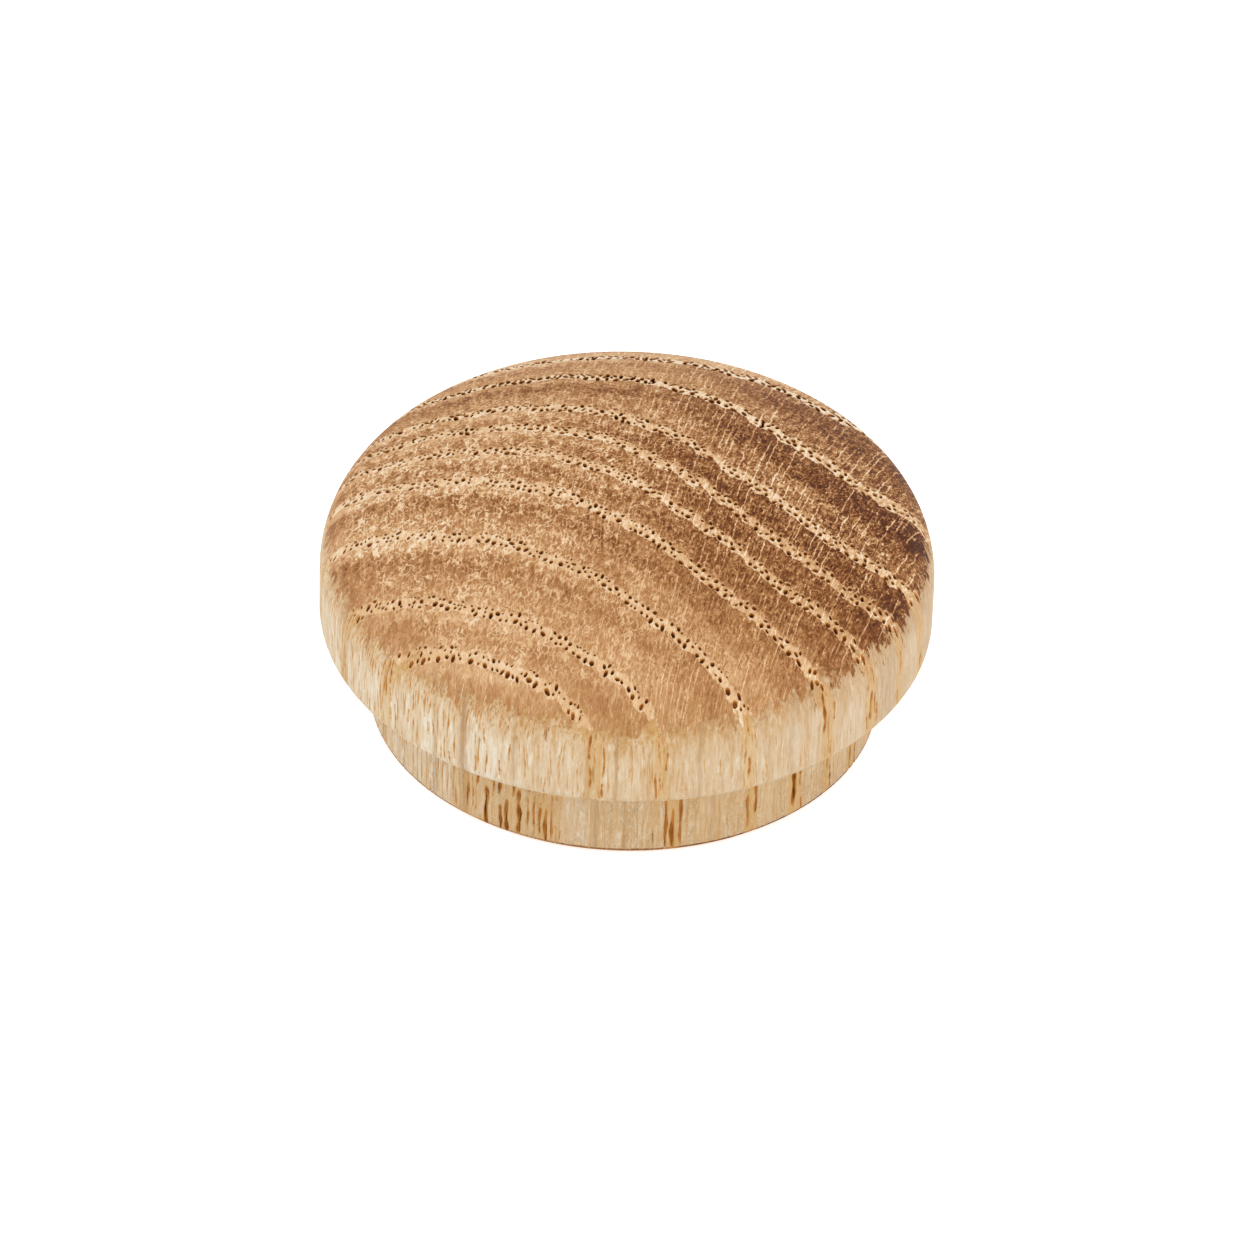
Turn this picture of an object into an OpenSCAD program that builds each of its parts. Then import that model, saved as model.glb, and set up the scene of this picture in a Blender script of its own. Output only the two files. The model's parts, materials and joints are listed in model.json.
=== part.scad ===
// Turned wooden button plug: a domed head on a short straight shank.
// The shank is pressed into a bored hole, and the head covers the hole's rim.
// Sizes are in millimetres. The shank's flat end stands on z = 0, and the plug's axis is +Z.

/* [Shank] */
// Diameter of the shank, which is the size of the hole that it fills
shank_d = 25; // [20:0.5:60]
// Length of the shank, from its flat end to the underside of the head
shank_length = 5; // [2:0.5:20]
// Width of the broken edge around the shank's flat end
end_chamfer = 0.25; // [0.1:0.05:1]

/* [Head] */
// How far the head reaches past the shank, all the way round
rim_overlap = 2.5; // [1:0.25:6]
// Height of the head, from its underside to the top of the dome
head_height = 10.2; // [7:0.1:12.6]
// Height of the head's straight side, from its underside to the start of the rounded edge
side_height = 2.8; // [1.8:0.1:4]
// Radius of the rounded edge between the straight side and the dome
edge_radius = 4.2; // [0.5:0.1:6]
// Radius of the small round between the straight side and the underside
lower_radius = 0.5; // [0.1:0.05:1]

/* [Hidden] */

$fn = 180;

// The head is wider than the shank by its overlap, so it always covers the hole's rim.
shank_r = shank_d / 2;
head_r = shank_r + rim_overlap;
top_z = shank_length + head_height;

// The small lower round stays inside the overlap and the straight side.
lower_r = min(lower_radius, rim_overlap / 2, side_height / 2);

// The rounded edge stays lower than the crown, so the dome always rises above it.
crown_height = head_height - side_height;
edge_r = min(edge_radius, 0.9 * crown_height);
edge_centre_r = head_r - edge_r;
edge_centre_z = shank_length + side_height;

// The dome is a sphere through the top of the head that runs smoothly into the rounded edge.
dome_r = (edge_centre_r ^ 2 + crown_height ^ 2 - edge_r ^ 2) / (2 * (crown_height - edge_r));
dome_centre_z = top_z - dome_r;

// The two arcs meet on the line through both centres, which leans out from the axis by this angle.
blend_angle = atan2(edge_centre_r, edge_centre_z - dome_centre_z);

// That line is drawn on past the surface, as far again as the edge's radius.
blend_line_end = [
    edge_centre_r + 2 * edge_r * sin(blend_angle),
    edge_centre_z + 2 * edge_r * cos(blend_angle)
];

// Half section of the shank: straight, with a broken edge at its flat end.
module shank_section() {
    polygon([
        [0, 0],
        [shank_r - end_chamfer, 0],
        [shank_r, end_chamfer],
        [shank_r, shank_length],
        [0, shank_length]
    ]);
}

// Half section of the head's straight side, with the small round at its lower corner.
module side_section() {
    difference() {
        translate([0, shank_length])
            square([head_r, side_height]);
        difference() {
            translate([head_r - lower_r, shank_length])
                square(lower_r);
            translate([head_r - lower_r, shank_length + lower_r])
                circle(r = lower_r);
        }
    }
}

// Half section of the dome, from the axis to the line where the rounded edge takes over.
module dome_section() {
    intersection() {
        translate([0, dome_centre_z])
            circle(r = dome_r);
        polygon([
            [0, edge_centre_z],
            [edge_centre_r, edge_centre_z],
            blend_line_end,
            [blend_line_end.x, top_z + edge_r],
            [0, top_z + edge_r]
        ]);
    }
}

// Half section of the rounded edge, from the top of the straight side to the dome.
module edge_section() {
    intersection() {
        translate([edge_centre_r, edge_centre_z])
            circle(r = edge_r);
        polygon([
            [edge_centre_r, edge_centre_z],
            [head_r + edge_r, edge_centre_z],
            [head_r + edge_r, blend_line_end.y],
            blend_line_end
        ]);
    }
}

// The plug is one piece of wood, turned about its axis.
module plug() {
    color("burlywood")
        rotate_extrude() {
            shank_section();
            side_section();
            dome_section();
            edge_section();
        }
}

plug();
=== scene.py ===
"""A turned oak button plug: a domed end-grain head on a short straight shank."""

import json
import math
import random

import bmesh
import bpy
from mathutils import Matrix, Vector


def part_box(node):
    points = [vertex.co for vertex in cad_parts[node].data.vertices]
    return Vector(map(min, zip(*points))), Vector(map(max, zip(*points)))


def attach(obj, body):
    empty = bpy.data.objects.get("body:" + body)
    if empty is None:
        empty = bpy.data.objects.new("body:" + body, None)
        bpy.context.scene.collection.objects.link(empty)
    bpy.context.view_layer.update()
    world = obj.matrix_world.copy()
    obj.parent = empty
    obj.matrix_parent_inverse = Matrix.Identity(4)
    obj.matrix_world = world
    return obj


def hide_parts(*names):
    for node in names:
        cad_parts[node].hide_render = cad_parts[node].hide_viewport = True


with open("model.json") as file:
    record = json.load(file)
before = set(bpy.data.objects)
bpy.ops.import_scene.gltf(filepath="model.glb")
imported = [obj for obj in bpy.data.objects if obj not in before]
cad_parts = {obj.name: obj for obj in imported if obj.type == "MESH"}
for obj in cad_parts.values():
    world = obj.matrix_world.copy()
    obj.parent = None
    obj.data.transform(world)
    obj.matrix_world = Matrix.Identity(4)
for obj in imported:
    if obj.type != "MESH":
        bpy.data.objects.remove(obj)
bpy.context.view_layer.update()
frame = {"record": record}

# ---- The plug -----------------------------------------------------------------------------------
# One piece of oak, turned on a lathe with the grain running along its axis. The dome is end grain
# and shows the year rings; the sides are long grain. It is bare wood, so every cut vessel is open.

MM = 0.001

mounts = {mount["name"]: mount for mount in frame["record"]["mounts"]}
plug_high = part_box("plug")[1]
head_radius = plug_high[0] / MM
top_height = plug_high[2] / MM
shank_radius = mounts["shank"]["dims"]["r_mm"]
rim_height = mounts["rim"]["pos_m"][2] / MM

end_chamfer = 0.25
lower_round = 0.5
side_height = 2.8
edge_radius = 4.2

# The dome is a sphere that runs smoothly into the rounded edge.
edge_centre = (head_radius - edge_radius, rim_height + side_height)
crown_height = top_height - edge_centre[1]
dome_radius = (edge_centre[0] ** 2 + crown_height ** 2 - edge_radius ** 2) / (
    2 * (crown_height - edge_radius))
dome_centre = top_height - dome_radius
blend_angle = math.atan2(edge_centre[0], edge_centre[1] - dome_centre)

SEGMENTS = 192
EDGE_STEPS = 12


def line_to(mesh, start, x, z, steps=1):
    """Adds a straight stretch to the half section and returns its last vertex."""
    x_from, z_from = start.co.x, start.co.z
    last = start
    for step in range(1, steps + 1):
        share = step / steps
        place = (x_from + (x * MM - x_from) * share, 0, z_from + (z * MM - z_from) * share)
        vertex = mesh.verts.new(place)
        mesh.edges.new((last, vertex))
        last = vertex
    return last


def arc_to(mesh, start, centre, turn, steps):
    """Adds an arc about a centre in the half section and returns its last vertex."""
    arc = bmesh.ops.spin(mesh, geom=[start], cent=(centre[0] * MM, 0, centre[1] * MM),
                         axis=(0, 1, 0), angle=turn, steps=steps)
    return arc["geom_last"][0]


body = bmesh.new()
section = body.verts.new((0, 0, 0))
section = line_to(body, section, shank_radius - end_chamfer, 0, steps=8)
section = line_to(body, section, shank_radius, end_chamfer)
section = line_to(body, section, shank_radius, rim_height, steps=6)
section = line_to(body, section, head_radius - lower_round, rim_height, steps=3)
lower_centre = (head_radius - lower_round, rim_height + lower_round)
section = arc_to(body, section, lower_centre, -math.pi / 2, steps=5)
section = line_to(body, section, head_radius, edge_centre[1], steps=4)
section = arc_to(body, section, edge_centre, blend_angle - math.pi / 2, steps=EDGE_STEPS)
section = arc_to(body, section, (0, dome_centre), -blend_angle, steps=20)
bmesh.ops.spin(body, geom=body.verts[:] + body.edges[:], cent=(0, 0, 0), axis=(0, 0, 1),
               angle=2 * math.pi, steps=SEGMENTS, use_merge=True)
bmesh.ops.remove_doubles(body, verts=body.verts, dist=0.001 * MM)
bmesh.ops.recalc_face_normals(body, faces=body.faces)

plug_mesh = bpy.data.meshes.new("turned_plug")
body.to_mesh(plug_mesh)
body.free()
plug = bpy.data.objects.new("turned_plug", plug_mesh)
bpy.context.collection.objects.link(plug)

# The year rings cross the head as long shallow waves, because the pith lay far off to one side.
# A place's ring height is how far it lies across the rings, in millimetres. It is a cubic in x, fans
# out along y and has waves on it, each with its turns in x and y, its shift and its size. A ring
# starts at each of the heights in RING_STARTS, with a band of earlywood.
RING_FAN = -0.0218
RING_BEND = (-0.0005, -0.0087, 0.429)
RING_WAVES = ((0.097, -0.184, 0.31, 0.9), (-0.217, 0.064, 4.77, 0.9),
              (1.7, 0.6, 0.0, 0.08), (4.1, -1.3, 0.0, 0.05))
RING_STARTS = (-19.5, -16.65, -13.95, -9.66, -5.62, -3.04, -0.95, 1.1, 5.03, 8.78, 12.9)
EARLYWOOD = 0.62
# The grain is not quite straight: in the shank the rings lie this much further across.
SHANK_LEAN = 1.1
# Broad rays run out from the pith, this far apart where they cross the head.
PITH = (-9.0, -64.0)
RAY_SPACING = 2.3
RAY_SWAY = 0.25
RAY_TURN = 1.1


def ring_height(x, y):
    """How far a place lies across the rings."""
    waves = sum(size * math.sin(x * x_turn + y * y_turn + shift)
                for x_turn, y_turn, shift, size in RING_WAVES)
    cubed, squared, plain = RING_BEND
    return y * (1 + RING_FAN * x) + plain * x + squared * x ** 2 + cubed * x ** 3 + waves


def ring_line(x, height):
    """Where a ring height is met at a given x."""
    y = height - 0.43 * x
    for _ in range(14):
        y -= (ring_height(x, y) - height) * 0.7
    return y


def ray_count(x, y):
    """A count that goes up by one at every broad ray, going round the pith."""
    across = (x - PITH[0]) * -PITH[1] / (y - PITH[1])
    return across / RAY_SPACING + RAY_SWAY * math.sin(RAY_TURN * across)


def surface_height(x, y):
    """Height of the dome or the rounded edge at a place."""
    radius = math.hypot(x, y)
    if radius < dome_radius * math.sin(blend_angle):
        return dome_centre + math.sqrt(dome_radius ** 2 - radius ** 2)
    return edge_centre[1] + math.sqrt(max(edge_radius ** 2 - (radius - edge_centre[0]) ** 2, 0))


# Earlywood vessels open 0.15 to 0.4 mm wide on the dome, and wider and longer near its back edge.
# They stand in three staggered rows at the start of each year ring, and a broad ray breaks the rows
# here and there.
VESSEL_ROWS = (0.12, 0.36, 0.56)
LARGE_VESSEL = (0.11, 0.155)
SMALL_VESSEL = (0.07, 0.1)
VESSEL_DEPTH = (0.2, 0.3)
rng = random.Random(7)


def place_vessels(reach, lean, gaps):
    """Picks where the earlywood vessels cut an end-grain face of this radius."""
    vessels = []
    for start in RING_STARTS:
        x = -reach
        row = 0
        while x < reach:
            x += rng.uniform(*gaps)
            row = (row + rng.choice((1, 1, 2))) % 3
            across = VESSEL_ROWS[row] + rng.uniform(-0.06, 0.06)
            large = rng.random() < 0.7 + 0.03 * x
            size = rng.uniform(*(LARGE_VESSEL if large else SMALL_VESSEL)) - 0.01 * row
            y = ring_line(x, start + across - lean)
            size *= 1 + 0.02 * max(y, 0)
            count = ray_count(x, y)
            near_ray = abs(count - round(count)) * RAY_SPACING < rng.uniform(0.08, 0.22)
            crowded = any(math.hypot(x - v[0], y - v[1]) < 1.12 * (size + v[2])
                          for v in vessels[-16:])
            if math.hypot(x, y) < reach and not near_ray and not crowded:
                vessels.append((x, y, size))
    return vessels


# A closed tube of three rings of radius 1, at heights 1, 0 and -1.
tube = bmesh.new()
bmesh.ops.create_cone(tube, cap_ends=True, segments=7, radius1=1, radius2=1, depth=2)
upright = [edge for edge in tube.edges if abs(edge.verts[0].co.z - edge.verts[1].co.z) > 1]
bmesh.ops.subdivide_edges(tube, edges=upright, cuts=1)
vessel_tube = bpy.data.meshes.new("vessel_tube")
tube.to_mesh(vessel_tube)
tube.free()


def sink_vessels(cutter, vessels, up):
    """Sets a tube into an end-grain face at each vessel; up is 1 on the dome and -1 below."""
    widths = (1.6, 1.0, 0.7)
    for x, y, size in vessels:
        before = len(cutter.verts)
        cutter.from_mesh(vessel_tube)
        cutter.verts.ensure_lookup_table()
        offsets = (0.03, -0.045, -rng.uniform(*VESSEL_DEPTH))
        # The top ring is level, and clear of the wood on its uphill side too.
        clear = 3.2 * size
        uphill = 1 - clear / max(math.hypot(x, y), clear)
        highest = surface_height(x * uphill, y * uphill) if up > 0 else 0
        turn = rng.gauss(math.pi / 2, 0.6 - 0.03 * max(y, 0))
        stretch = rng.uniform(1.0, 1.35)
        longer = 1 + 0.07 * max(y, 0)
        for vertex in cutter.verts[before:]:
            level = round(1 - vertex.co.z)
            wide = widths[level] * size * rng.uniform(0.9, 1.1)
            along = vertex.co.x * wide * stretch * longer
            aside = vertex.co.y * wide / stretch
            there = (x + along * math.cos(turn) - aside * math.sin(turn),
                     y + along * math.sin(turn) + aside * math.cos(turn))
            face = surface_height(*there) if up > 0 else 0
            if level == 0:
                face = highest
            vertex.co = Vector((there[0], there[1], face + up * offsets[level])) * MM


def cut_into(piece, cutter):
    """Cuts a set of vessels out of the wood."""
    cutter_mesh = bpy.data.meshes.new("vessels")
    cutter.to_mesh(cutter_mesh)
    cutter.free()
    vessels = bpy.data.objects.new("vessels", cutter_mesh)
    bpy.context.collection.objects.link(vessels)
    cut = piece.modifiers.new("vessels", "BOOLEAN")
    cut.solver = "MANIFOLD"
    cut.operation = "DIFFERENCE"
    cut.object = vessels
    bpy.context.view_layer.update()
    seen = piece.evaluated_get(bpy.context.evaluated_depsgraph_get())
    result = bpy.data.meshes.new_from_object(seen)
    piece.modifiers.clear()
    piece.data = result
    bpy.data.objects.remove(vessels)


# Vessels that touch are cut one after the other, so that their walls run cleanly into each other.
dome_vessels = place_vessels(head_radius - 0.4, 0, (0.035, 0.085))
for _ in range(4):
    cutter = bmesh.new()
    apart, left = [], []
    for vessel in dome_vessels:
        near = [v for v in apart[-16:]
                if math.hypot(vessel[0] - v[0], vessel[1] - v[1]) < 2.4 * (vessel[2] + v[2])]
        (left if near else apart).append(vessel)
    sink_vessels(cutter, apart, 1)
    cut_into(plug, cutter)
    dome_vessels = left
cutter = bmesh.new()
end_vessels = place_vessels(shank_radius - end_chamfer - 0.2, SHANK_LEAN, (0.3, 0.7))
sink_vessels(cutter, end_vessels, -1)
bmesh.ops.reverse_faces(cutter, faces=cutter.faces)
cut_into(plug, cutter)


# Where the lathe cut along the vessels, on the sides, each shows as a narrow groove. The latewood
# has few and narrow ones, and more of them at the left, where they run up over the rounded edge.
def place_grooves(radius, low, high, lean, dense, widths, lengths):
    """Picks where vessels lie open along a side of this radius; dense is tries to a square mm."""
    grooves = []
    tries = int(2 * math.pi * radius * (high - low) * dense)
    for _ in range(tries):
        angle = rng.uniform(0, 2 * math.pi)
        height = ring_height(radius * math.cos(angle), radius * math.sin(angle)) + lean
        since = min([height - start for start in RING_STARTS if start <= height] or [9])
        width = rng.uniform(*widths)
        z = rng.uniform(low, high)
        if since > EARLYWOOD:
            at_left = math.cos(angle) < -0.3
            highest = edge_centre[1] + (1.2 if at_left else 0.3)
            if rng.random() > (0.4 if at_left else 0.12) or z > highest:
                continue
            width = min(width, 0.12 if at_left else 0.08)
        elif since < 0.35 and rng.random() < 0.6:
            width *= 1.4
        length = max(rng.uniform(*lengths) * (0.4 + rng.random()), 8 * width)
        crowded = any(abs(angle - g[0]) * radius < (width + g[2]) * 0.5 + 0.02
                      and abs(z - g[1]) < (length + g[3]) * 0.5 + 0.02 for g in grooves)
        if not crowded:
            grooves.append((angle, z, width, length))
    return grooves


ball = bmesh.new()
bmesh.ops.create_uvsphere(ball, u_segments=6, v_segments=8, radius=1)
spindle = bpy.data.meshes.new("spindle")
ball.to_mesh(spindle)
ball.free()


def sink_spindle(cutter, radius, angle, ends, width):
    """Sets a long thin wandering spindle into the side."""
    before = len(cutter.verts)
    cutter.from_mesh(spindle)
    cutter.verts.ensure_lookup_table()
    wander = rng.uniform(0, 6)
    middle, half = (ends[0] + ends[1]) / 2, (ends[1] - ends[0]) / 2
    for vertex in cutter.verts[before:]:
        blunt = max(math.hypot(vertex.co.x, vertex.co.y), 0.1) ** -0.5
        ragged = math.sin(vertex.co.z * (5 + 1.5 * wander) + wander * 3)
        swell = blunt * width * (0.48 + 0.14 * ragged)
        height = middle + vertex.co.z * half
        rise = max(height - edge_centre[1], 0)
        surface = radius - edge_radius + math.sqrt(edge_radius ** 2 - rise ** 2)
        out = surface + vertex.co.x * swell
        drift = 0.035 * math.sin(vertex.co.z * half * 3 + wander)
        turned = angle + (vertex.co.y * swell + drift) / radius
        vertex.co = Vector((out * math.cos(turned), out * math.sin(turned), height)) * MM


cutter = bmesh.new()
side_top = edge_centre[1] + 1.6
head_grooves = place_grooves(head_radius, rim_height + 0.5, side_top, 0, 8.0, (0.07, 0.18),
                             (0.6, 2.3))
for angle, z, width, length in head_grooves:
    ends = (max(z - length / 2, rim_height + 0.2), min(z + length / 2, side_top + 0.8))
    sink_spindle(cutter, head_radius, angle, ends, width)
shank_grooves = place_grooves(shank_radius, 0.3, rim_height - 0.3, SHANK_LEAN, 7.5, (0.1, 0.28),
                              (1.6, 6.0))
# The wider grooves of the shank have a second, narrower one along their floor.
inner = bmesh.new()
for angle, z, width, length in shank_grooves:
    ends = (max(z - length / 2, -0.3), min(z + length / 2, rim_height - 0.03))
    sink_spindle(cutter, shank_radius + 0.1 * width, angle, ends, width)
    if width > 0.12:
        turned = angle + rng.uniform(-0.25, 0.25) * width / shank_radius
        cut = rng.uniform(0.1, 0.4) * (ends[1] - ends[0])
        inner_ends = (ends[0] + cut * rng.random(), ends[1] - cut)
        sink_spindle(inner, shank_radius - 0.25 * width, turned, inner_ends, width * 0.4)
cut_into(plug, cutter)
cut_into(plug, inner)

# Two cuts that only just meet leave a wall with two faces and no thickness, which is taken away.
whole = bmesh.new()
whole.from_mesh(plug.data)
same_corners = {}
for face in whole.faces:
    same_corners.setdefault(frozenset(corner.index for corner in face.verts), []).append(face)
thin = [face for faces in same_corners.values() if len(faces) > 1 for face in faces]
bmesh.ops.delete(whole, geom=thin, context="FACES")
whole.to_mesh(plug.data)
whole.free()

# The map that its colours are laid out on, in millimetres: the dome as a disc, the side of the head
# and of the shank as three strips each, and the end face as a smaller disc.
SHEET = 53.9
dome_spot = (17.2, SHEET - 17.2)
end_spot = (44.0, 13.5)
end_scale = 0.77
head_strip = (0.4, 6.3)
head_pitch = 6.5
shank_strip = (34.8, SHEET - 0.3)
shank_pitch = 5.5
edge_step = (math.pi / 2 - blend_angle) / EDGE_STEPS
seam_angle = math.pi / 2 - 3 * edge_step
seam_height = edge_centre[1] + edge_radius * math.cos(seam_angle)
dome_reach = dome_radius * blend_angle
third = 2 * math.pi / 3


def on_dome(place, radius):
    """Place on the map of a corner on the dome or the upper part of the rounded edge."""
    if radius < dome_radius * math.sin(blend_angle):
        reach = dome_radius * math.asin(radius / dome_radius)
    else:
        turn = math.asin(min((radius - edge_centre[0]) / edge_radius, 1))
        reach = dome_reach + edge_radius * (turn - blend_angle)
    share = reach / max(radius, 0.001)
    return dome_spot[0] + place.x * share, dome_spot[1] + place.y * share


def down_head(place, radius):
    """How far a corner lies from the seam, down the side of the head and in below it."""
    if place.z > edge_centre[1]:
        turn = math.atan2(radius - edge_centre[0], place.z - edge_centre[1])
        return edge_radius * (turn - seam_angle)
    down = edge_radius * (math.pi / 2 - seam_angle)
    if place.z > lower_centre[1]:
        return down + edge_centre[1] - place.z
    down += edge_centre[1] - lower_centre[1]
    if radius > lower_centre[0]:
        return down + lower_round * math.atan2(lower_centre[1] - place.z, radius - lower_centre[0])
    return down + lower_round * math.pi / 2 + lower_centre[0] - radius


bake_map = plug.data.uv_layers.new(name="OFBake")
for face in plug.data.polygons:
    middle = face.center / MM
    middle_radius = math.hypot(middle.x, middle.y)
    heading = math.atan2(middle.y, middle.x) % (2 * math.pi)
    strip = int(heading / third)
    in_end = middle.z < 0.6 and (middle_radius < shank_radius - 0.3 or face.normal.z < -0.9)
    for corner in face.loop_indices:
        place = plug.data.vertices[plug.data.loops[corner].vertex_index].co / MM
        radius = math.hypot(place.x, place.y)
        turn = math.atan2(place.y, place.x) - heading
        turn = (turn + math.pi) % (2 * math.pi) - math.pi + heading - strip * third
        if middle.z > seam_height:
            u, v = on_dome(place, radius)
        elif middle.z > rim_height - 0.001:
            u = head_strip[0] + turn * head_radius
            v = head_strip[1] + head_pitch * strip - down_head(place, radius)
        elif in_end:
            u = end_spot[0] - place.x * end_scale
            v = end_spot[1] + place.y * end_scale
        else:
            u = shank_strip[0] + shank_pitch * strip + place.z
            v = shank_strip[1] - turn * shank_radius
        bake_map.data[corner].uv = (u / SHEET, v / SHEET)

plug.data.name = "turned_plug"
plug.data.shade_smooth()
plug.data.set_sharp_from_angle(angle=math.radians(20))


# Bare oak, fine-turned: matt, with pale earlywood bands, browner latewood and pale rays. End grain
# drinks the light and looks brown; long grain on the sides is pale straw with fine upright fibres.
def srgb(code, alpha=1.0):
    """Turns a hex colour into the linear values that the shader takes."""
    parts = [int(code[i:i + 2], 16) / 255 for i in (1, 3, 5)]
    linear = [p / 12.92 if p <= 0.04045 else ((p + 0.055) / 1.055) ** 2.4 for p in parts]
    return (*linear, alpha)


def add_node(tree, kind, inputs=None, **settings):
    """Adds a node, fills or links its inputs and returns its outputs."""
    node = tree.nodes.new(kind)
    for name, value in settings.items():
        setattr(node, name, value)
    for socket, value in (inputs or {}).items():
        if isinstance(value, bpy.types.NodeSocket):
            tree.links.new(value, node.inputs[socket])
        else:
            node.inputs[socket].default_value = value
    return node.outputs


def fill_ramp(tree, stops):
    """Sets the colour stops of the ramp that was added last."""
    ramp = tree.nodes[-1].color_ramp
    while len(ramp.elements) < len(stops):
        ramp.elements.new(1.0)
    for element, (position, colour) in zip(ramp.elements, stops):
        element.position = position
        element.color = srgb(colour)


def add_shares(tree, tone, contrast, shares):
    """Adds each pattern's share to a tone, counted from the pattern's own middle."""
    for part, share, middle in shares:
        part = add_node(tree, "ShaderNodeMath", {0: part, 1: middle}, operation="SUBTRACT")[0]
        part = add_node(tree, "ShaderNodeMath", {0: part, 1: contrast}, operation="MULTIPLY")[0]
        tone = add_node(tree, "ShaderNodeMath", {0: part, 1: share, 2: tone},
                        operation="MULTIPLY_ADD")[0]
    return tone


oak = bpy.data.materials.new("bare_turned_oak")
oak.use_nodes = True
tree = oak.node_tree
tree.nodes.clear()

place = add_node(tree, "ShaderNodeTexCoord")["Object"]
place = add_node(tree, "ShaderNodeVectorMath", {0: place, "Scale": 1 / MM}, operation="SCALE")[0]
x, y, z = add_node(tree, "ShaderNodeSeparateXYZ", {0: place})

# The same ring height as the vessels follow.
height = RING_BEND[0]
for term in RING_BEND[1:] + (y,):
    height = add_node(tree, "ShaderNodeMath", {0: x, 1: height, 2: term},
                      operation="MULTIPLY_ADD")[0]
fan = add_node(tree, "ShaderNodeMath", {0: x, 1: y}, operation="MULTIPLY")[0]
height = add_node(tree, "ShaderNodeMath", {0: fan, 1: RING_FAN, 2: height},
                  operation="MULTIPLY_ADD")[0]
for x_turn, y_turn, shift, size in RING_WAVES:
    wave = add_node(tree, "ShaderNodeMath", {0: y, 1: y_turn, 2: shift}, operation="MULTIPLY_ADD")[0]
    wave = add_node(tree, "ShaderNodeMath", {0: x, 1: x_turn, 2: wave}, operation="MULTIPLY_ADD")[0]
    wave = add_node(tree, "ShaderNodeMath", {0: wave}, operation="SINE")[0]
    height = add_node(tree, "ShaderNodeMath", {0: wave, 1: size, 2: height},
                      operation="MULTIPLY_ADD")[0]

lean = add_node(tree, "ShaderNodeMapRange", {"Value": z, "From Min": rim_height + 0.2,
                                             "From Max": rim_height - 0.2, "To Max": SHANK_LEAN})[0]
height = add_node(tree, "ShaderNodeMath", {0: height, 1: lean}, operation="ADD")[0]

# Going round the pith, in millimetres, and the broad rays met on the way.
outward = add_node(tree, "ShaderNodeMath", {0: y, 1: PITH[1]}, operation="SUBTRACT")[0]
around = add_node(tree, "ShaderNodeMath", {0: x, 1: PITH[0]}, operation="SUBTRACT")[0]
around = add_node(tree, "ShaderNodeMath", {0: around, 1: outward}, operation="DIVIDE")[0]
around = add_node(tree, "ShaderNodeMath", {0: around, 1: -PITH[1]}, operation="MULTIPLY")[0]
sway = add_node(tree, "ShaderNodeMath", {0: around, 1: RAY_TURN}, operation="MULTIPLY")[0]
sway = add_node(tree, "ShaderNodeMath", {0: sway}, operation="SINE")[0]
sway = add_node(tree, "ShaderNodeMath", {0: sway, 1: RAY_SWAY * RAY_SPACING, 2: around},
                operation="MULTIPLY_ADD")[0]
broad_ray = add_node(tree, "ShaderNodeMath", {0: sway, 1: RAY_SPACING / 2}, operation="PINGPONG")[0]

# Everything in the wood is drawn out along the grain, so places are squeezed in height.
grain = add_node(tree, "ShaderNodeVectorMath", {0: place, 1: (1, 1, 0.05)}, operation="MULTIPLY")[0]
bent, bend = add_node(tree, "ShaderNodeTexNoise", {"Vector": grain, "Scale": 1.4, "Detail": 2.0})
mottle = add_node(tree, "ShaderNodeTexNoise", {"Vector": grain, "Scale": 3.2, "Detail": 4.0,
                                               "Roughness": 0.75})[0]
blotch = add_node(tree, "ShaderNodeTexNoise", {"Vector": grain, "Scale": 1.3, "Detail": 3.0,
                                               "Roughness": 0.6})[0]
ray_place = add_node(tree, "ShaderNodeCombineXYZ", {0: around, 1: y, 2: z})[0]
speck_place = add_node(tree, "ShaderNodeVectorMath", {0: ray_place, 1: (10.0, 5.0, 0.5)},
                       operation="MULTIPLY")[0]
specks = add_node(tree, "ShaderNodeTexNoise", {"Vector": speck_place, "Scale": 1.0, "Detail": 2.0,
                                               "Roughness": 0.7, "Distortion": 0.6})[0]
drift = add_node(tree, "ShaderNodeTexNoise", {"Vector": grain, "Scale": 0.18, "Detail": 2.0})[0]

# The edges of the pale bands are uneven, and here and there bulge into the latewood.
lobes = add_node(tree, "ShaderNodeTexNoise", {"W": around, "Scale": 1.1, "Detail": 2.0},
                 noise_dimensions="1D")[0]
lobes = add_node(tree, "ShaderNodeMapRange", {"Value": lobes, "From Min": 0.3, "From Max": 0.7,
                                              "To Min": -0.1, "To Max": 0.1})[0]
height = add_node(tree, "ShaderNodeMath", {0: height, 1: lobes}, operation="ADD")[0]
height = add_node(tree, "ShaderNodeMath", {0: mottle, 1: 0.4, 2: height},
                  operation="MULTIPLY_ADD")[0]
height = add_node(tree, "ShaderNodeMath", {0: height, 1: 0.14}, operation="SUBTRACT")[0]

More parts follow.
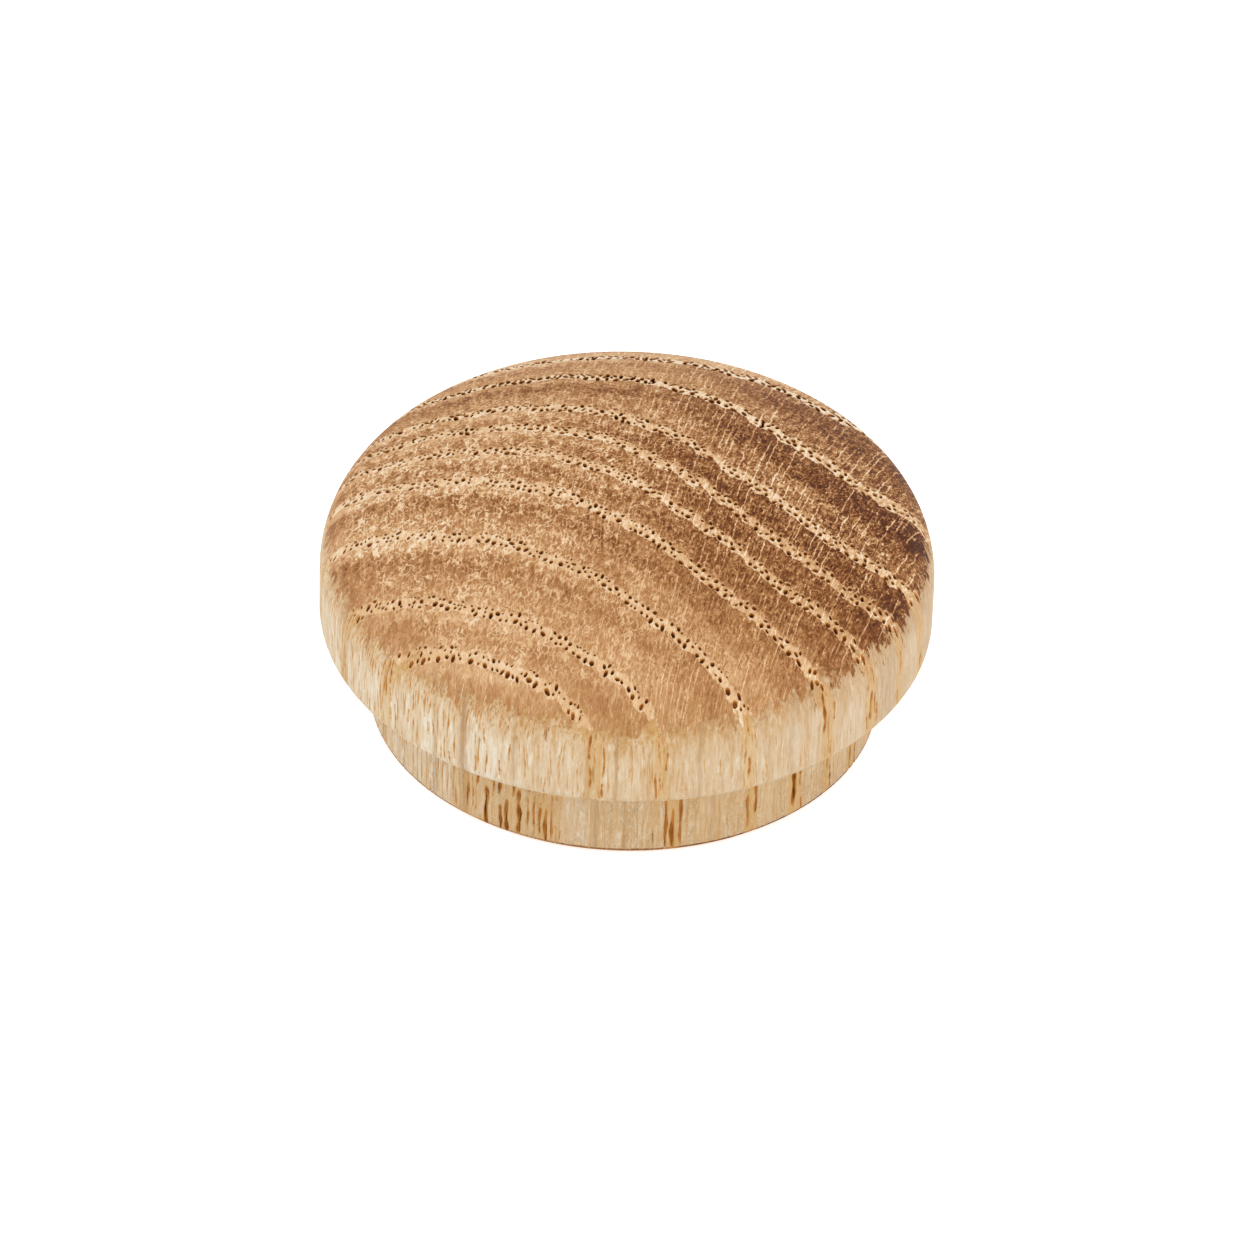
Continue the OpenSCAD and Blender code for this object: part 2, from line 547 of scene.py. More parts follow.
# How far a place lies past the start of its own year ring and how far it is to the next, with one
# more ring before the first start and one after the last.
ring_width = 3.0
start = RING_STARTS[0] - ring_width
next_start = RING_STARTS[-1] + 3.6
for last, ring, after in zip((start,) + RING_STARTS, RING_STARTS, RING_STARTS[1:] + (next_start,)):
    past = add_node(tree, "ShaderNodeMath", {0: height, 1: ring}, operation="GREATER_THAN")[0]
    start = add_node(tree, "ShaderNodeMath", {0: past, 1: ring - last, 2: start},
                     operation="MULTIPLY_ADD")[0]
    ring_width = add_node(tree, "ShaderNodeMath",
                          {0: past, 1: (after - ring) - (ring - last), 2: ring_width},
                          operation="MULTIPLY_ADD")[0]
since = add_node(tree, "ShaderNodeMath", {0: height, 1: start}, operation="SUBTRACT")[0]
until = add_node(tree, "ShaderNodeMath", {0: ring_width, 1: since}, operation="SUBTRACT")[0]
earlywood = add_node(tree, "ShaderNodeMapRange", {"Value": since, "From Min": 0.5, "From Max": 0.7,
                                                  "To Min": 1.0, "To Max": 0.0},
                     interpolation_type="SMOOTHSTEP")[0]

# At the left the last-grown wood of a ring is pale again. The darker wood before it ends in round
# lobes between pale rays, and has a soft darker line.
leftward = add_node(tree, "ShaderNodeMapRange", {"Value": x, "From Min": 3.0, "From Max": -7.0})[0]
lobe = add_node(tree, "ShaderNodeMath", {0: bent, 1: 0.8, 2: around}, operation="MULTIPLY_ADD")[0]
lobe = add_node(tree, "ShaderNodeTexVoronoi", {"W": lobe, "Scale": 1.4},
                voronoi_dimensions="1D", feature="DISTANCE_TO_EDGE")[0]
bulge = add_node(tree, "ShaderNodeMapRange", {"Value": lobe, "From Max": 0.4, "To Max": 0.6},
                 interpolation_type="SMOOTHSTEP")[0]
bulge = add_node(tree, "ShaderNodeMath", {0: until, 1: bulge}, operation="ADD")[0]
pale_foot = add_node(tree, "ShaderNodeMapRange", {"Value": bulge, "From Min": 1.25, "From Max": 0.95},
                     interpolation_type="SMOOTHSTEP")[0]
between = add_node(tree, "ShaderNodeMapRange", {"Value": lobe, "From Min": 0.2, "From Max": 0.04})[0]
between_end = add_node(tree, "ShaderNodeMapRange", {"Value": until, "From Min": 3.0, "From Max": 1.2,
                                                    "To Max": 0.8})[0]
between = add_node(tree, "ShaderNodeMath", {0: between, 1: between_end}, operation="MULTIPLY")[0]
pale_foot = add_node(tree, "ShaderNodeMath", {0: pale_foot, 1: between}, operation="MAXIMUM")[0]
pale_foot = add_node(tree, "ShaderNodeMath", {0: pale_foot, 1: leftward}, operation="MULTIPLY")[0]
pale_start = add_node(tree, "ShaderNodeMapRange", {"Value": since, "From Min": 2.4, "From Max": 0.6},
                      interpolation_type="SMOOTHSTEP")[0]
pale_start = add_node(tree, "ShaderNodeMath", {0: pale_start, 1: leftward}, operation="MULTIPLY")[0]
dark_line = add_node(tree, "ShaderNodeMath", {0: until, 1: 1.3}, operation="SUBTRACT")[0]
dark_line = add_node(tree, "ShaderNodeMath", {0: dark_line}, operation="ABSOLUTE")[0]
dark_line = add_node(tree, "ShaderNodeMapRange", {"Value": dark_line, "From Min": 0.9, "From Max": 0.1},
                     interpolation_type="SMOOTHSTEP")[0]
patchy = add_node(tree, "ShaderNodeMapRange", {"Value": blotch, "From Min": 0.35, "From Max": 0.6})[0]
dark_line = add_node(tree, "ShaderNodeMath", {0: dark_line, 1: patchy}, operation="MULTIPLY")[0]

# Fine rays run across the rings as thin pale broken lines.
ray_line = add_node(tree, "ShaderNodeMath", {0: bent, 1: 0.3, 2: around}, operation="MULTIPLY_ADD")[0]
ray_line = add_node(tree, "ShaderNodeMath", {0: specks, 1: 0.04, 2: ray_line},
                    operation="MULTIPLY_ADD")[0]
ray_edge = add_node(tree, "ShaderNodeTexVoronoi", {"W": ray_line, "Scale": 2.8},
                    voronoi_dimensions="1D", feature="DISTANCE_TO_EDGE")[0]
rays = add_node(tree, "ShaderNodeMapRange", {"Value": ray_edge, "From Min": 0.03, "From Max": 0.13,
                                             "To Min": 1.0, "To Max": 0.0})[0]
broken = add_node(tree, "ShaderNodeVectorMath", {0: ray_place, 1: (2.4, 0.5, 0.04)},
                  operation="MULTIPLY")[0]
broken = add_node(tree, "ShaderNodeTexNoise", {"Vector": broken, "Scale": 1.0, "Detail": 1.0})[0]
broken = add_node(tree, "ShaderNodeMapRange", {"Value": broken, "From Min": 0.42, "From Max": 0.62})[0]
rays = add_node(tree, "ShaderNodeMath", {0: rays, 1: broken}, operation="MULTIPLY")[0]
ray_strength = add_node(tree, "ShaderNodeMapRange", {"Value": x, "From Min": -5.0, "From Max": 6.0,
                                                     "To Min": 0.35, "To Max": 1.0})[0]
rays = add_node(tree, "ShaderNodeMath", {0: rays, 1: ray_strength}, operation="MULTIPLY")[0]
ray_fibres = add_node(tree, "ShaderNodeVectorMath", {0: ray_place, 1: (7.0, 1.6, 0.15)},
                      operation="MULTIPLY")[0]
ray_fibres = add_node(tree, "ShaderNodeTexNoise", {"Vector": ray_fibres, "Scale": 1.0, "Detail": 3.0,
                                                   "Roughness": 0.7})[0]
ray_fibres = add_node(tree, "ShaderNodeMath", {0: ray_fibres, 1: 0.5}, operation="SUBTRACT")[0]
ray_fibres = add_node(tree, "ShaderNodeMath", {0: ray_fibres, 1: ray_strength},
                      operation="MULTIPLY")[0]

# Towards the back the pale bands stand out more from the wood between them, which is calmer there.
back = add_node(tree, "ShaderNodeMapRange", {"Value": y, "From Min": 0.0, "From Max": 8.0})[0]
band = add_node(tree, "ShaderNodeMath", {0: back, 1: 0.3, 2: 1.0}, operation="MULTIPLY_ADD")[0]
band = add_node(tree, "ShaderNodeMath", {0: band, 1: earlywood}, operation="MULTIPLY")[0]
calm = add_node(tree, "ShaderNodeMath", {0: back, 1: -0.5, 2: 1.0}, operation="MULTIPLY_ADD")[0]

# Latewood vessels are tiny, 0.05 mm or less. They are drawn as pale ringlets and curls about 0.2 mm
# across, so that they show, with finer flecks and pits between them.
warped = add_node(tree, "ShaderNodeVectorMath", {0: bend, 1: (1.2, 1.2, 0.0), 2: grain},
                  operation="MULTIPLY_ADD")[0]
ringlet = add_node(tree, "ShaderNodeTexVoronoi", {"Vector": warped, "Scale": 3.4})
some = add_node(tree, "ShaderNodeSeparateColor", {0: ringlet["Color"]})[0]
some = add_node(tree, "ShaderNodeMath", {0: some, 1: 0.6}, operation="GREATER_THAN")[0]
ringlet = add_node(tree, "ShaderNodeMath", {0: ringlet["Distance"], 1: 0.3, 2: 0.09},
                   operation="COMPARE")[0]
ringlet = add_node(tree, "ShaderNodeMath", {0: ringlet, 1: some}, operation="MULTIPLY")[0]
curl_place = add_node(tree, "ShaderNodeVectorMath", {0: ray_place, 1: (3.9, 3.1, 0.17)},
                      operation="MULTIPLY")[0]
curl = add_node(tree, "ShaderNodeTexNoise", {"Vector": curl_place, "Scale": 1.0, "Detail": 0.0,
                                             "Offset": 1.0, "Distortion": 0.8},
                noise_type="RIDGED_MULTIFRACTAL", normalize=False)[0]
curl = add_node(tree, "ShaderNodeMapRange", {"Value": curl, "From Min": 0.5})[0]
in_patches = add_node(tree, "ShaderNodeMapRange", {"Value": bent, "From Min": 0.35, "From Max": 0.6,
                                                   "To Min": 0.3})[0]
at_left = add_node(tree, "ShaderNodeMapRange", {"Value": x, "From Min": 4.0, "From Max": -5.0,
                                                "To Min": 0.45})[0]
off_band = add_node(tree, "ShaderNodeMath", {0: earlywood, 1: -0.6, 2: 1.0},
                    operation="MULTIPLY_ADD")[0]
upward = add_node(tree, "ShaderNodeNewGeometry")["Normal"]
upward = add_node(tree, "ShaderNodeSeparateXYZ", {0: upward})[2]
flat = add_node(tree, "ShaderNodeMapRange", {"Value": upward, "From Min": 0.65, "From Max": 0.84,
                                             "To Min": 0.3})[0]
for share in (in_patches, at_left, off_band, flat, calm):
    curl = add_node(tree, "ShaderNodeMath", {0: curl, 1: share}, operation="MULTIPLY")[0]
flecks = add_node(tree, "ShaderNodeMapRange", {"Value": specks, "From Min": 0.62, "From Max": 0.7})[0]
pits = add_node(tree, "ShaderNodeMapRange", {"Value": specks, "From Min": 0.4, "From Max": 0.3})[0]

# The lowest edge of the shank is darkened along its chamfer: painted shade where it meets the floor.
off_axis = add_node(tree, "ShaderNodeVectorMath", {0: place, 1: (1, 1, 0)}, operation="MULTIPLY")[0]
off_axis = add_node(tree, "ShaderNodeVectorMath", {0: off_axis}, operation="LENGTH")[1]
foot = add_node(tree, "ShaderNodeMapRange", {"Value": z, "From Min": 0.36, "From Max": 0.24})[0]
foot_shade_line = add_node(tree, "ShaderNodeMapRange", {"Value": off_axis, "From Min": shank_radius - 0.5,
                                                  "From Max": shank_radius - 0.3})[0]
arris = add_node(tree, "ShaderNodeMath", {0: z, 1: end_chamfer}, operation="SUBTRACT")[0]
arris = add_node(tree, "ShaderNodeMath", {0: arris}, operation="ABSOLUTE")[0]
arris = add_node(tree, "ShaderNodeMapRange", {"Value": arris, "From Min": 0.12, "From Max": 0.05})[0]
foot_shade_line = add_node(tree, "ShaderNodeMath", {0: foot_shade_line, 1: arris}, operation="MULTIPLY")[0]

# Tone of the end grain, from 0 at the darkest latewood to 1 at the palest earlywood. The wood is
# darkest at the right of the dome.
from_dark = add_node(tree, "ShaderNodeVectorMath", {0: grain, 1: (12.0, -1.2, 0.6)},
                     operation="DISTANCE")[1]
tone = add_node(tree, "ShaderNodeMapRange", {"Value": from_dark, "From Min": 2.0, "From Max": 12.5,
                                             "To Min": 0.43, "To Max": 0.535})[0]
# The tone rises at the far back of the dome, and a little all the way back through the share of back in
# the sum below: painted sheen.
back_sheen_lift = add_node(tree, "ShaderNodeMapRange", {"Value": y, "From Min": 7.0, "From Max": 11.0,
                                                 "To Max": 0.18})[0]
tone = add_node(tree, "ShaderNodeMath", {0: tone, 1: back_sheen_lift}, operation="ADD")[0]
front = add_node(tree, "ShaderNodeMapRange", {"Value": y, "From Min": -8.0, "From Max": -13.0,
                                              "To Max": 0.08})[0]
tone = add_node(tree, "ShaderNodeMath", {0: tone, 1: front}, operation="ADD")[0]
browner = add_node(tree, "ShaderNodeMapRange", {"Value": y, "From Min": -2.0, "From Max": 6.0})[0]
browner = add_node(tree, "ShaderNodeMath", {0: browner, 1: leftward}, operation="MULTIPLY")[0]
speckled = add_node(tree, "ShaderNodeMath", {0: leftward, 1: -0.5, 2: 1.0},
                    operation="MULTIPLY_ADD")[0]
fine = add_node(tree, "ShaderNodeMath", {0: specks, 1: 0.5}, operation="SUBTRACT")[0]
speckled = add_node(tree, "ShaderNodeMath", {0: fine, 1: speckled}, operation="MULTIPLY")[0]
late = add_node(tree, "ShaderNodeMapRange", {"Value": until, "From Min": 1.9, "From Max": 0.2},
                interpolation_type="SMOOTHSTEP")[0]
rightward = add_node(tree, "ShaderNodeMath", {0: 1.0, 1: leftward}, operation="SUBTRACT")[0]
late = add_node(tree, "ShaderNodeMath", {0: late, 1: rightward}, operation="MULTIPLY")[0]
contrast = add_node(tree, "ShaderNodeMapRange", {"Value": from_dark, "From Min": 3.0,
                                                 "From Max": 17.0, "To Min": 1.2, "To Max": 0.75})[0]
near = add_node(tree, "ShaderNodeMapRange", {"Value": y, "From Min": -3.0, "From Max": -10.0,
                                             "To Min": 1.0, "To Max": 0.65})[0]
contrast = add_node(tree, "ShaderNodeMath", {0: contrast, 1: near}, operation="MULTIPLY")[0]
tone = add_shares(tree, tone, contrast, (
    (drift, 0.3, 0.5), (blotch, 0.35, 0.5), (mottle, 0.4, 0.5), (speckled, 0.6, 0.0),
    (late, -0.15, 0.3), (browner, -0.12, 0.0), (back, 0.07, 0.0),
    (ray_fibres, 0.9, 0.0), (rays, 0.45, 0.05),
    (band, 0.38, 0.15), (pale_foot, 0.2, 0.15), (pale_start, 0.12, 0.2), (dark_line, -0.2, 0.1),
    (ringlet, 0.16, 0.0), (flecks, 0.35, 0.0), (pits, -0.2, 0.0), (curl, 0.72, 0.15),
    (foot_shade_line, -0.4, 0.0)))
end_colour = add_node(tree, "ShaderNodeValToRGB", {0: tone})[0]
fill_ramp(tree, ((0.0, "#4B2007"), (0.25, "#834D22"), (0.5, "#BD8755"), (0.75, "#E8BE8E"),
                 (1.0, "#FBE5C7")))

# Tone of the long grain on the sides: fine fibres and broader streaks, both drawn out upwards.
fibre_place = add_node(tree, "ShaderNodeVectorMath", {0: place, 1: (7.0, 7.0, 0.7)},
                       operation="MULTIPLY")[0]
fibres = add_node(tree, "ShaderNodeTexNoise", {"Vector": fibre_place, "Scale": 1.0, "Detail": 4.0,
                                               "Roughness": 0.7})[0]
streak_place = add_node(tree, "ShaderNodeVectorMath", {0: place, 1: (3.0, 3.0, 0.25)},
                        operation="MULTIPLY")[0]
streaks = add_node(tree, "ShaderNodeTexNoise", {"Vector": streak_place, "Scale": 1.0, "Detail": 3.0,
                                                "Roughness": 0.7})[0]
# The shank was not sanded, so curled fibres stand up on it.
fluff_place = add_node(tree, "ShaderNodeVectorMath", {0: place, 1: (4.5, 4.5, 2.4)},
                       operation="MULTIPLY")[0]
fluff = add_node(tree, "ShaderNodeTexNoise", {"Vector": fluff_place, "Scale": 1.0, "Detail": 0.0,
                                              "Offset": 1.0, "Distortion": 0.9},
                 noise_type="RIDGED_MULTIFRACTAL", normalize=False)[0]
fluff = add_node(tree, "ShaderNodeMapRange", {"Value": fluff, "From Min": 0.6})[0]
shank_rough_and_shaded = add_node(tree, "ShaderNodeMapRange", {"Value": z, "From Min": rim_height + 0.1,
                                                  "From Max": rim_height - 0.1, "To Min": 0.3})[0]
fluff = add_node(tree, "ShaderNodeMath", {0: fluff, 1: shank_rough_and_shaded}, operation="MULTIPLY")[0]
fluffy = add_node(tree, "ShaderNodeMapRange", {"Value": bent, "From Min": 0.42, "From Max": 0.6,
                                               "To Min": 0.25})[0]
fluff = add_node(tree, "ShaderNodeMath", {0: fluff, 1: fluffy}, operation="MULTIPLY")[0]
# The top of the side is darker in patches, and broad rays show as brown upright streaks.
stain = add_node(tree, "ShaderNodeMath", {0: blotch, 1: 3.0, 2: z}, operation="MULTIPLY_ADD")[0]
stain = add_node(tree, "ShaderNodeMapRange", {"Value": stain, "From Min": 9.2, "From Max": 11.0})[0]
ray_streak = add_node(tree, "ShaderNodeMath", {0: fibres, 1: 0.5, 2: broad_ray},
                      operation="MULTIPLY_ADD")[0]
ray_streak = add_node(tree, "ShaderNodeMapRange", {"Value": ray_streak, "From Min": 0.55,
                                                   "From Max": 0.25})[0]
some = add_node(tree, "ShaderNodeTexNoise", {"W": around, "Scale": 0.4}, noise_dimensions="1D")[0]
some = add_node(tree, "ShaderNodeMapRange", {"Value": some, "From Min": 0.42, "From Max": 0.62})[0]
# Short dark lines are vessels too fine to be cut as grooves; pale drips lie between them.
line_place = add_node(tree, "ShaderNodeVectorMath", {0: place, 1: (11.0, 11.0, 0.55)},
                      operation="MULTIPLY")[0]
lines = add_node(tree, "ShaderNodeTexNoise", {"Vector": line_place, "Scale": 1.0, "Detail": 1.0})[0]
lines = add_node(tree, "ShaderNodeMapRange", {"Value": lines, "From Min": 0.42, "From Max": 0.28})[0]
porous = add_node(tree, "ShaderNodeMath", {0: leftward, 1: 0.4, 2: earlywood},
                  operation="MULTIPLY_ADD")[0]
porous = add_node(tree, "ShaderNodeMath", {0: porous, 1: 0.7, 2: 0.15}, operation="MULTIPLY_ADD")[0]
lines = add_node(tree, "ShaderNodeMath", {0: lines, 1: porous}, operation="MULTIPLY")[0]
smoother = add_node(tree, "ShaderNodeMath", {0: shank_rough_and_shaded, 1: -0.6, 2: 1.1},
                    operation="MULTIPLY_ADD")[0]
lines = add_node(tree, "ShaderNodeMath", {0: lines, 1: smoother}, operation="MULTIPLY")[0]
drip_place = add_node(tree, "ShaderNodeVectorMath", {0: place, 1: (5.0, 5.0, 1.0)},
                      operation="MULTIPLY")[0]
drips = add_node(tree, "ShaderNodeTexNoise", {"Vector": drip_place, "Scale": 1.0, "Detail": 1.0})[0]
drips = add_node(tree, "ShaderNodeMapRange", {"Value": drips, "From Min": 0.58, "From Max": 0.68})[0]
# The side tone is a little lower on the shank: partly its rougher cut, partly painted shade under the
# head.
side_tone = add_shares(tree, 0.7, 1.0, (
    (fibres, 0.9, 0.5), (streaks, 0.7, 0.5), (fluff, 0.35, 0.2), (lines, -0.9, 0.0),
    (drips, 0.2, 0.1), (shank_rough_and_shaded, -0.06, 0.3), (leftward, 0.22, 0.3), (earlywood, -0.04, 0.0),
    (stain, -0.3, 0.0), (drift, 0.3, 0.5)))
side_colour = add_node(tree, "ShaderNodeValToRGB", {0: side_tone})[0]
fill_ramp(tree, ((0.0, "#A0662C"), (0.3, "#CE9F66"), (0.55, "#E3C49C"), (0.8, "#EFDBBC"),
                 (1.0, "#F8EDDA")))
ray_streak = add_node(tree, "ShaderNodeMath", {0: ray_streak, 1: some}, operation="MULTIPLY")[0]
side_colour = add_node(tree, "ShaderNodeMix", {0: ray_streak, 6: side_colour, 7: srgb("#B9936A")},
                       data_type="RGBA")[2]
# The side turns greyer to the right, and is more golden in the earlywood and on the shank.
greyer = add_node(tree, "ShaderNodeMapRange", {"Value": x, "From Min": 1.0, "From Max": 11.0,
                                               "To Max": 0.35})[0]
side_colour = add_node(tree, "ShaderNodeMix", {0: greyer, 6: side_colour, 7: srgb("#DCCBB5")},
                       data_type="RGBA")[2]
golden = add_node(tree, "ShaderNodeMath", {0: leftward, 1: -0.5, 2: 0.75},
                  operation="MULTIPLY_ADD")[0]
golden = add_node(tree, "ShaderNodeMath", {0: golden, 1: shank_rough_and_shaded, 2: earlywood},
                  operation="MULTIPLY_ADD")[0]
golden = add_node(tree, "ShaderNodeMath", {0: golden, 1: 0.43}, operation="MULTIPLY")[0]
side_colour = add_node(tree, "ShaderNodeMix", {0: golden, 6: side_colour, 7: srgb("#E2B673")},
                       data_type="RGBA")[2]

# End grain shows wherever the surface cuts across the fibres: from the rounded edge of the head
# inwards, and below on the end face and its chamfer. Where the two meet the wood is golden brown.
facing = add_node(tree, "ShaderNodeMath", {0: upward, 1: foot}, operation="MAXIMUM")[0]
facing = add_node(tree, "ShaderNodeMath", {0: facing, 1: streaks}, operation="ADD")[0]
facing = add_node(tree, "ShaderNodeMath", {0: bent, 1: 0.4, 2: facing}, operation="MULTIPLY_ADD")[0]
end_grain = add_node(tree, "ShaderNodeMapRange", {"Value": facing, "From Min": 1.04, "From Max": 1.16},
                     interpolation_type="SMOOTHSTEP")[0]
colour = add_node(tree, "ShaderNodeMix", {0: end_grain, 6: side_colour, 7: end_colour},
                  data_type="RGBA")[2]
turning = add_node(tree, "ShaderNodeMath", {0: end_grain, 1: 0.5}, operation="PINGPONG")[0]
colour = add_node(tree, "ShaderNodeMix", {0: turning, 6: colour, 7: srgb("#BD8443")},
                  data_type="RGBA")[2]

# How deep a place lies below the turned surface: below the dome inside its cone, else below the
# rounded edge and the side of the head, else below the shank.
reach = add_node(tree, "ShaderNodeVectorMath", {0: place, 1: (0, 0, dome_centre)},
                 operation="DISTANCE")[1]
under_dome = add_node(tree, "ShaderNodeMath", {0: dome_radius, 1: reach}, operation="SUBTRACT")[0]
cone = add_node(tree, "ShaderNodeMath", {0: z, 1: dome_centre}, operation="SUBTRACT")[0]
cone = add_node(tree, "ShaderNodeMath", {0: cone, 1: math.tan(blend_angle)}, operation="MULTIPLY")[0]
in_cone = add_node(tree, "ShaderNodeMath", {0: off_axis, 1: cone}, operation="LESS_THAN")[0]
corners = []
for centre, radius, rising in ((edge_centre, edge_radius, 1), (lower_centre, lower_round, -1)):
    out = add_node(tree, "ShaderNodeMath", {0: off_axis, 1: centre[0]}, operation="SUBTRACT")[0]
    out = add_node(tree, "ShaderNodeMath", {0: out, 1: 0.0}, operation="MAXIMUM")[0]
    rise = add_node(tree, "ShaderNodeMath", {0: z, 1: rising, 2: -rising * centre[1]},
                    operation="MULTIPLY_ADD")[0]
    rise = add_node(tree, "ShaderNodeMath", {0: rise, 1: 0.0}, operation="MAXIMUM")[0]
    reach = add_node(tree, "ShaderNodeCombineXYZ", {0: out, 1: rise})[0]
    reach = add_node(tree, "ShaderNodeVectorMath", {0: reach}, operation="LENGTH")[1]
    corners.append(add_node(tree, "ShaderNodeMath", {0: radius, 1: reach}, operation="SUBTRACT")[0])
depth = add_node(tree, "ShaderNodeMix", {0: in_cone, 2: corners[0], 3: under_dome})[0]
depth = add_node(tree, "ShaderNodeMath", {0: depth, 1: corners[1]}, operation="MINIMUM")[0]
in_shank = add_node(tree, "ShaderNodeMath", {0: shank_radius, 1: off_axis}, operation="SUBTRACT")[0]
in_shank = add_node(tree, "ShaderNodeMath", {0: in_shank, 1: z}, operation="MINIMUM")[0]
in_head = add_node(tree, "ShaderNodeMath", {0: z, 1: rim_height - 0.02}, operation="GREATER_THAN")[0]
depth = add_node(tree, "ShaderNodeMix", {0: in_head, 2: in_shank, 3: depth})[0]

# Inside an open vessel the wall is pale at the lip and darkens with depth, soonest at the back. The
# wall is brown wood; its darkening deeper in is painted shade in the hollow, darkest towards the back.
wall_shade_depth = add_node(tree, "ShaderNodeMath", {0: depth, 1: VESSEL_DEPTH[1]}, operation="DIVIDE")[0]
back_shade_sooner = add_node(tree, "ShaderNodeMath", {0: back, 1: 0.7, 2: 1.0}, operation="MULTIPLY_ADD")[0]
wall_shade_depth = add_node(tree, "ShaderNodeMath", {0: wall_shade_depth, 1: back_shade_sooner}, operation="MULTIPLY")[0]
end_wall = add_node(tree, "ShaderNodeValToRGB", {0: wall_shade_depth})[0]
fill_ramp(tree, ((0.06, "#FFEDCB"), (0.14, "#E2A860"), (0.3, "#B26C27"), (0.55, "#753C11"),
                 (0.9, "#421D05")))
side_wall = add_node(tree, "ShaderNodeValToRGB", {0: wall_shade_depth})[0]
fill_ramp(tree, ((0.05, "#F3D6A4"), (0.18, "#D6994C"), (0.38, "#B06E28"), (0.62, "#70400F"),
                 (0.95, "#3A1C06")))
on_side = add_node(tree, "ShaderNodeMapRange", {"Value": z, "From Min": edge_centre[1] + 0.8,
                                                "From Max": edge_centre[1] + 0.2})[0]
wall_colour_and_shade = add_node(tree, "ShaderNodeMix", {0: on_side, 6: end_wall, 7: side_wall},
                       data_type="RGBA")[2]
in_vessel = add_node(tree, "ShaderNodeMapRange", {"Value": depth, "From Min": 0.009,
                                                  "From Max": 0.022})[0]
colour = add_node(tree, "ShaderNodeMix", {0: in_vessel, 6: colour, 7: wall_colour_and_shade},
                  data_type="RGBA")[2]

# The wood is fuzzy rather than polished, by about 0.05 mm.
relief = add_node(tree, "ShaderNodeMath", {0: curl, 1: 0.5, 2: specks}, operation="MULTIPLY_ADD")[0]
relief = add_node(tree, "ShaderNodeMath", {0: relief, 1: 0.6}, operation="MULTIPLY")[0]
side_relief = add_node(tree, "ShaderNodeMath", {0: fluff, 1: 0.4, 2: fibres},
                       operation="MULTIPLY_ADD")[0]
side_relief = add_node(tree, "ShaderNodeMath", {0: side_relief, 1: 1.5}, operation="MULTIPLY")[0]
relief = add_node(tree, "ShaderNodeMix", {0: end_grain, 2: side_relief, 3: relief})[0]
bump = add_node(tree, "ShaderNodeBump", {"Height": relief, "Strength": 1.0, "Distance": 0.05 * MM})[0]
roughness = add_node(tree, "ShaderNodeMapRange", {"Value": mottle, "To Min": 0.6,
                                                  "To Max": 0.85})[0]
shader = add_node(tree, "ShaderNodeBsdfPrincipled", {"Base Color": colour, "Roughness": roughness,
                                                     "IOR": 1.5, "Specular IOR Level": 0.2,
                                                     "Normal": bump})[0]
add_node(tree, "ShaderNodeOutputMaterial", {"Surface": shader})
plug.data.materials.clear()
plug.data.materials.append(oak)

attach(plug, "root")
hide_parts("plug")

# ---- Floor --------------------------------------------------------------------------------------
# A plain sheet of white paper under the plug, matt and much wider than it. It is shown lit up to
# white, with the plug's soft shadow left on it; the light on the plug sees only pale paper.
def showing(tree):
    """Is 1 where a surface is shown: straight to the camera, in gloss or through glass."""
    path = add_node(tree, "ShaderNodeLightPath")
    shown = path["Is Camera Ray"]
    for ray in ("Is Glossy Ray", "Is Transmission Ray"):
        shown = add_node(tree, "ShaderNodeMath", {0: shown, 1: path[ray]}, operation="MAXIMUM")[0]
    return shown


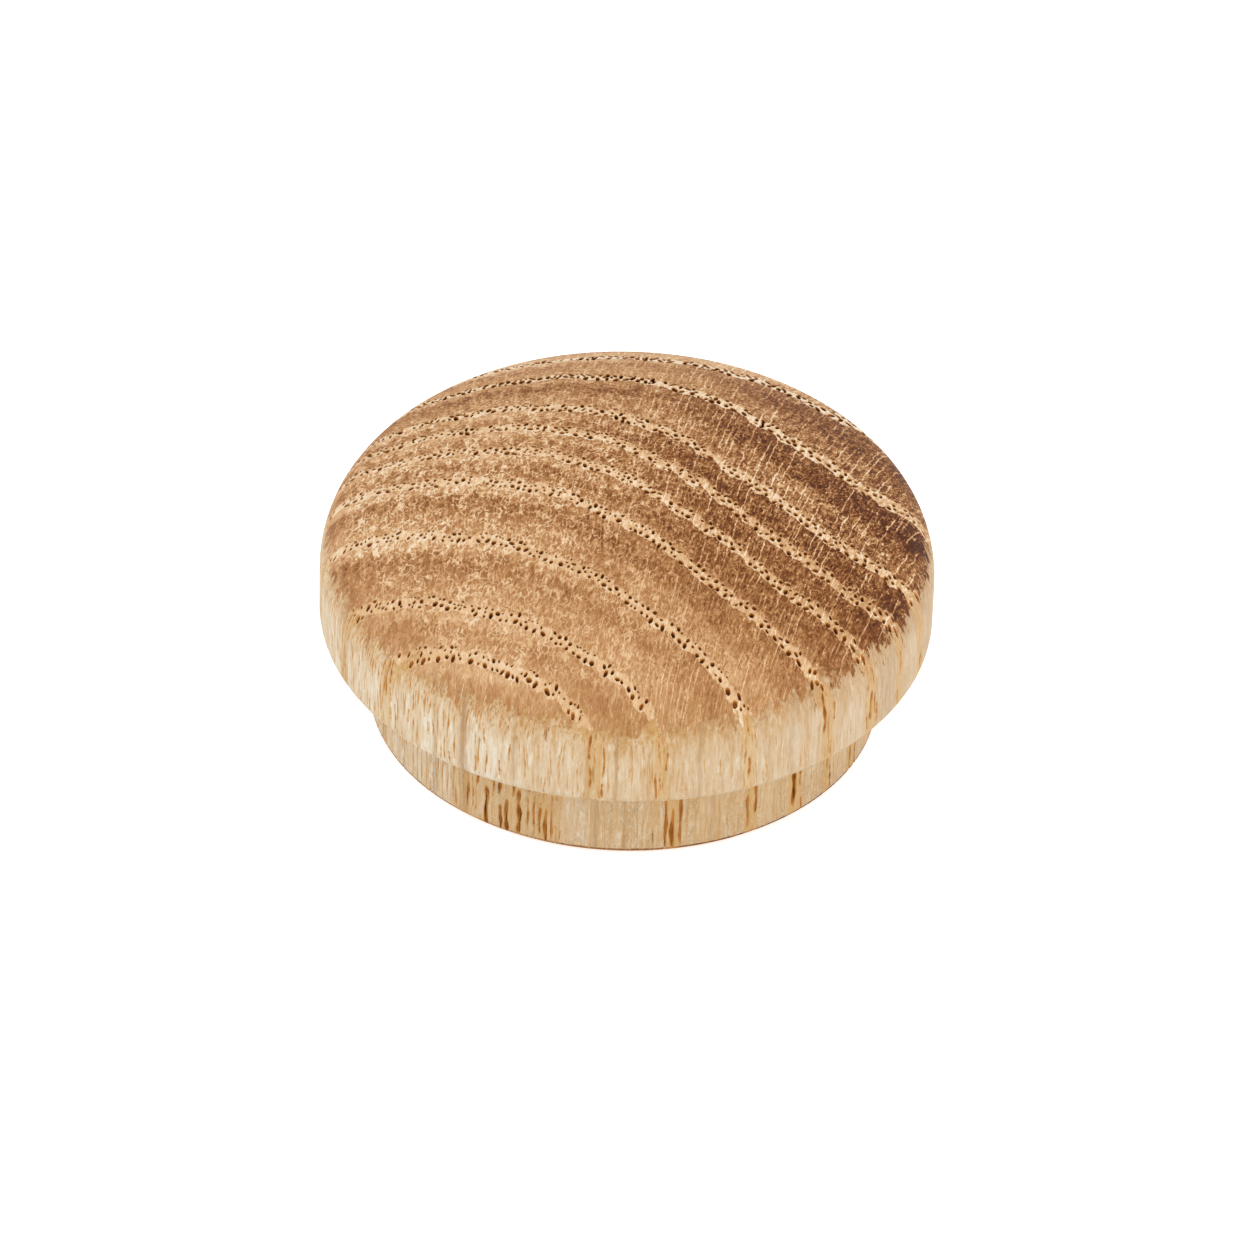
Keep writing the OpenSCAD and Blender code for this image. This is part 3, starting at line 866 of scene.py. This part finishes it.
floor_mesh = bpy.data.meshes.new("floor")
sheet = bmesh.new()
bmesh.ops.create_grid(sheet, x_segments=1, y_segments=1, size=2.0)
sheet.to_mesh(floor_mesh)
sheet.free()
floor = bpy.data.objects.new("floor", floor_mesh)
bpy.context.collection.objects.link(floor)
paper = bpy.data.materials.new("white_paper")
paper.use_nodes = True
tree = paper.node_tree
tree.nodes.clear()
matt = add_node(tree, "ShaderNodeBsdfDiffuse", {"Color": srgb("#F4F4F4")})[0]
glow = add_node(tree, "ShaderNodeEmission", {"Strength": 0.6})[0]
lit = add_node(tree, "ShaderNodeAddShader", {0: matt, 1: glow})[0]
surface = add_node(tree, "ShaderNodeMixShader", {0: showing(tree), 1: matt, 2: lit})[0]
add_node(tree, "ShaderNodeOutputMaterial", {"Surface": surface})
floor.data.materials.append(paper)

# ---- Light --------------------------------------------------------------------------------------
# Even studio light from all round, with a broad soft lamp high at the front left and a weaker one
# low at the front right. The room itself shows as white.
world = bpy.data.worlds.new("studio")
bpy.context.scene.world = world
world.use_nodes = True
tree = world.node_tree
tree.nodes.clear()
strength = add_node(tree, "ShaderNodeMapRange", {"Value": showing(tree), "To Min": 0.8,
                                                 "To Max": 1.0})[0]
sky = add_node(tree, "ShaderNodeBackground", {"Color": srgb("#FFFFFF"), "Strength": strength})[0]
add_node(tree, "ShaderNodeOutputWorld", {"Surface": sky})

plug_middle = Vector((0, 0, 0.008))
for name, place, energy in (("key", (-0.26, -0.14, 0.36), 0.42), ("fill", (0.32, -0.14, 0.14), 0.3)):
    lamp = bpy.data.lights.new(name, "AREA")
    lamp.size = 0.3
    lamp.energy = energy
    holder = bpy.data.objects.new(name, lamp)
    holder.location = place
    towards = plug_middle - holder.location
    holder.rotation_euler = towards.to_track_quat("-Z", "Y").to_euler()
    bpy.context.collection.objects.link(holder)

# ---- Camera -------------------------------------------------------------------------------------
# A long lens from the front, 38 degrees above the floor, turned slightly on its own axis.
camera_data = bpy.data.cameras.new("camera")
camera_data.sensor_width = 36.0
camera_data.lens = 262.0
camera_data.clip_start = 0.01
camera = bpy.data.objects.new("camera", camera_data)
elevation = math.radians(37.8)
roll = math.radians(1.74)
distance = 0.45
forward = Vector((0, math.cos(elevation), -math.sin(elevation)))
side = Vector((1, 0, 0))
up = side.cross(forward)
right = side * math.cos(roll) + up * math.sin(roll)
over = up * math.cos(roll) - side * math.sin(roll)
aim = right * 0.00018 + over * 0.00328
camera.rotation_euler = Matrix((right, over, -forward)).transposed().to_euler()
camera.location = aim - forward * distance
bpy.context.collection.objects.link(camera)
bpy.context.scene.camera = camera
bpy.context.scene.view_settings.view_transform = "Standard"
